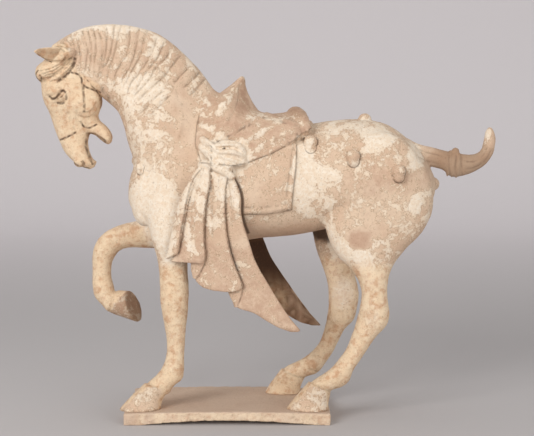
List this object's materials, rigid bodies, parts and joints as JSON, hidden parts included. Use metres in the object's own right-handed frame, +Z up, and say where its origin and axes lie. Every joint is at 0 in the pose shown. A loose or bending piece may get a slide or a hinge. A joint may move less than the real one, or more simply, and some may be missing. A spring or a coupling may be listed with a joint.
{
  "type": "saddled horse tomb figure",
  "caption": "Fired clay figure of a prancing saddled horse with one foreleg raised, pleated cloth hanging from a knot at the saddle, on a thin bowed slab.",
  "frame": {"origin": "centre of the bounding box at ground level, under the slab", "axes": "+Z up; the horse faces -X, its left side with the standing foreleg is towards -Y, and its tail points to +X"},
  "size_m": [0.6144, 0.17, 0.524],
  "materials": {
    "horse_clay": "low-fired buff earthenware, unglazed, with worn white slip and traces of pink-brown pigment",
    "plinth_clay": "low-fired buff earthenware, unglazed, with worn white slip on its edges and soil-stained top"
  },
  "bodies": {
    "root": {"horse": "horse_clay", "plinth": "plinth_clay"}
  },
  "joints": []
}
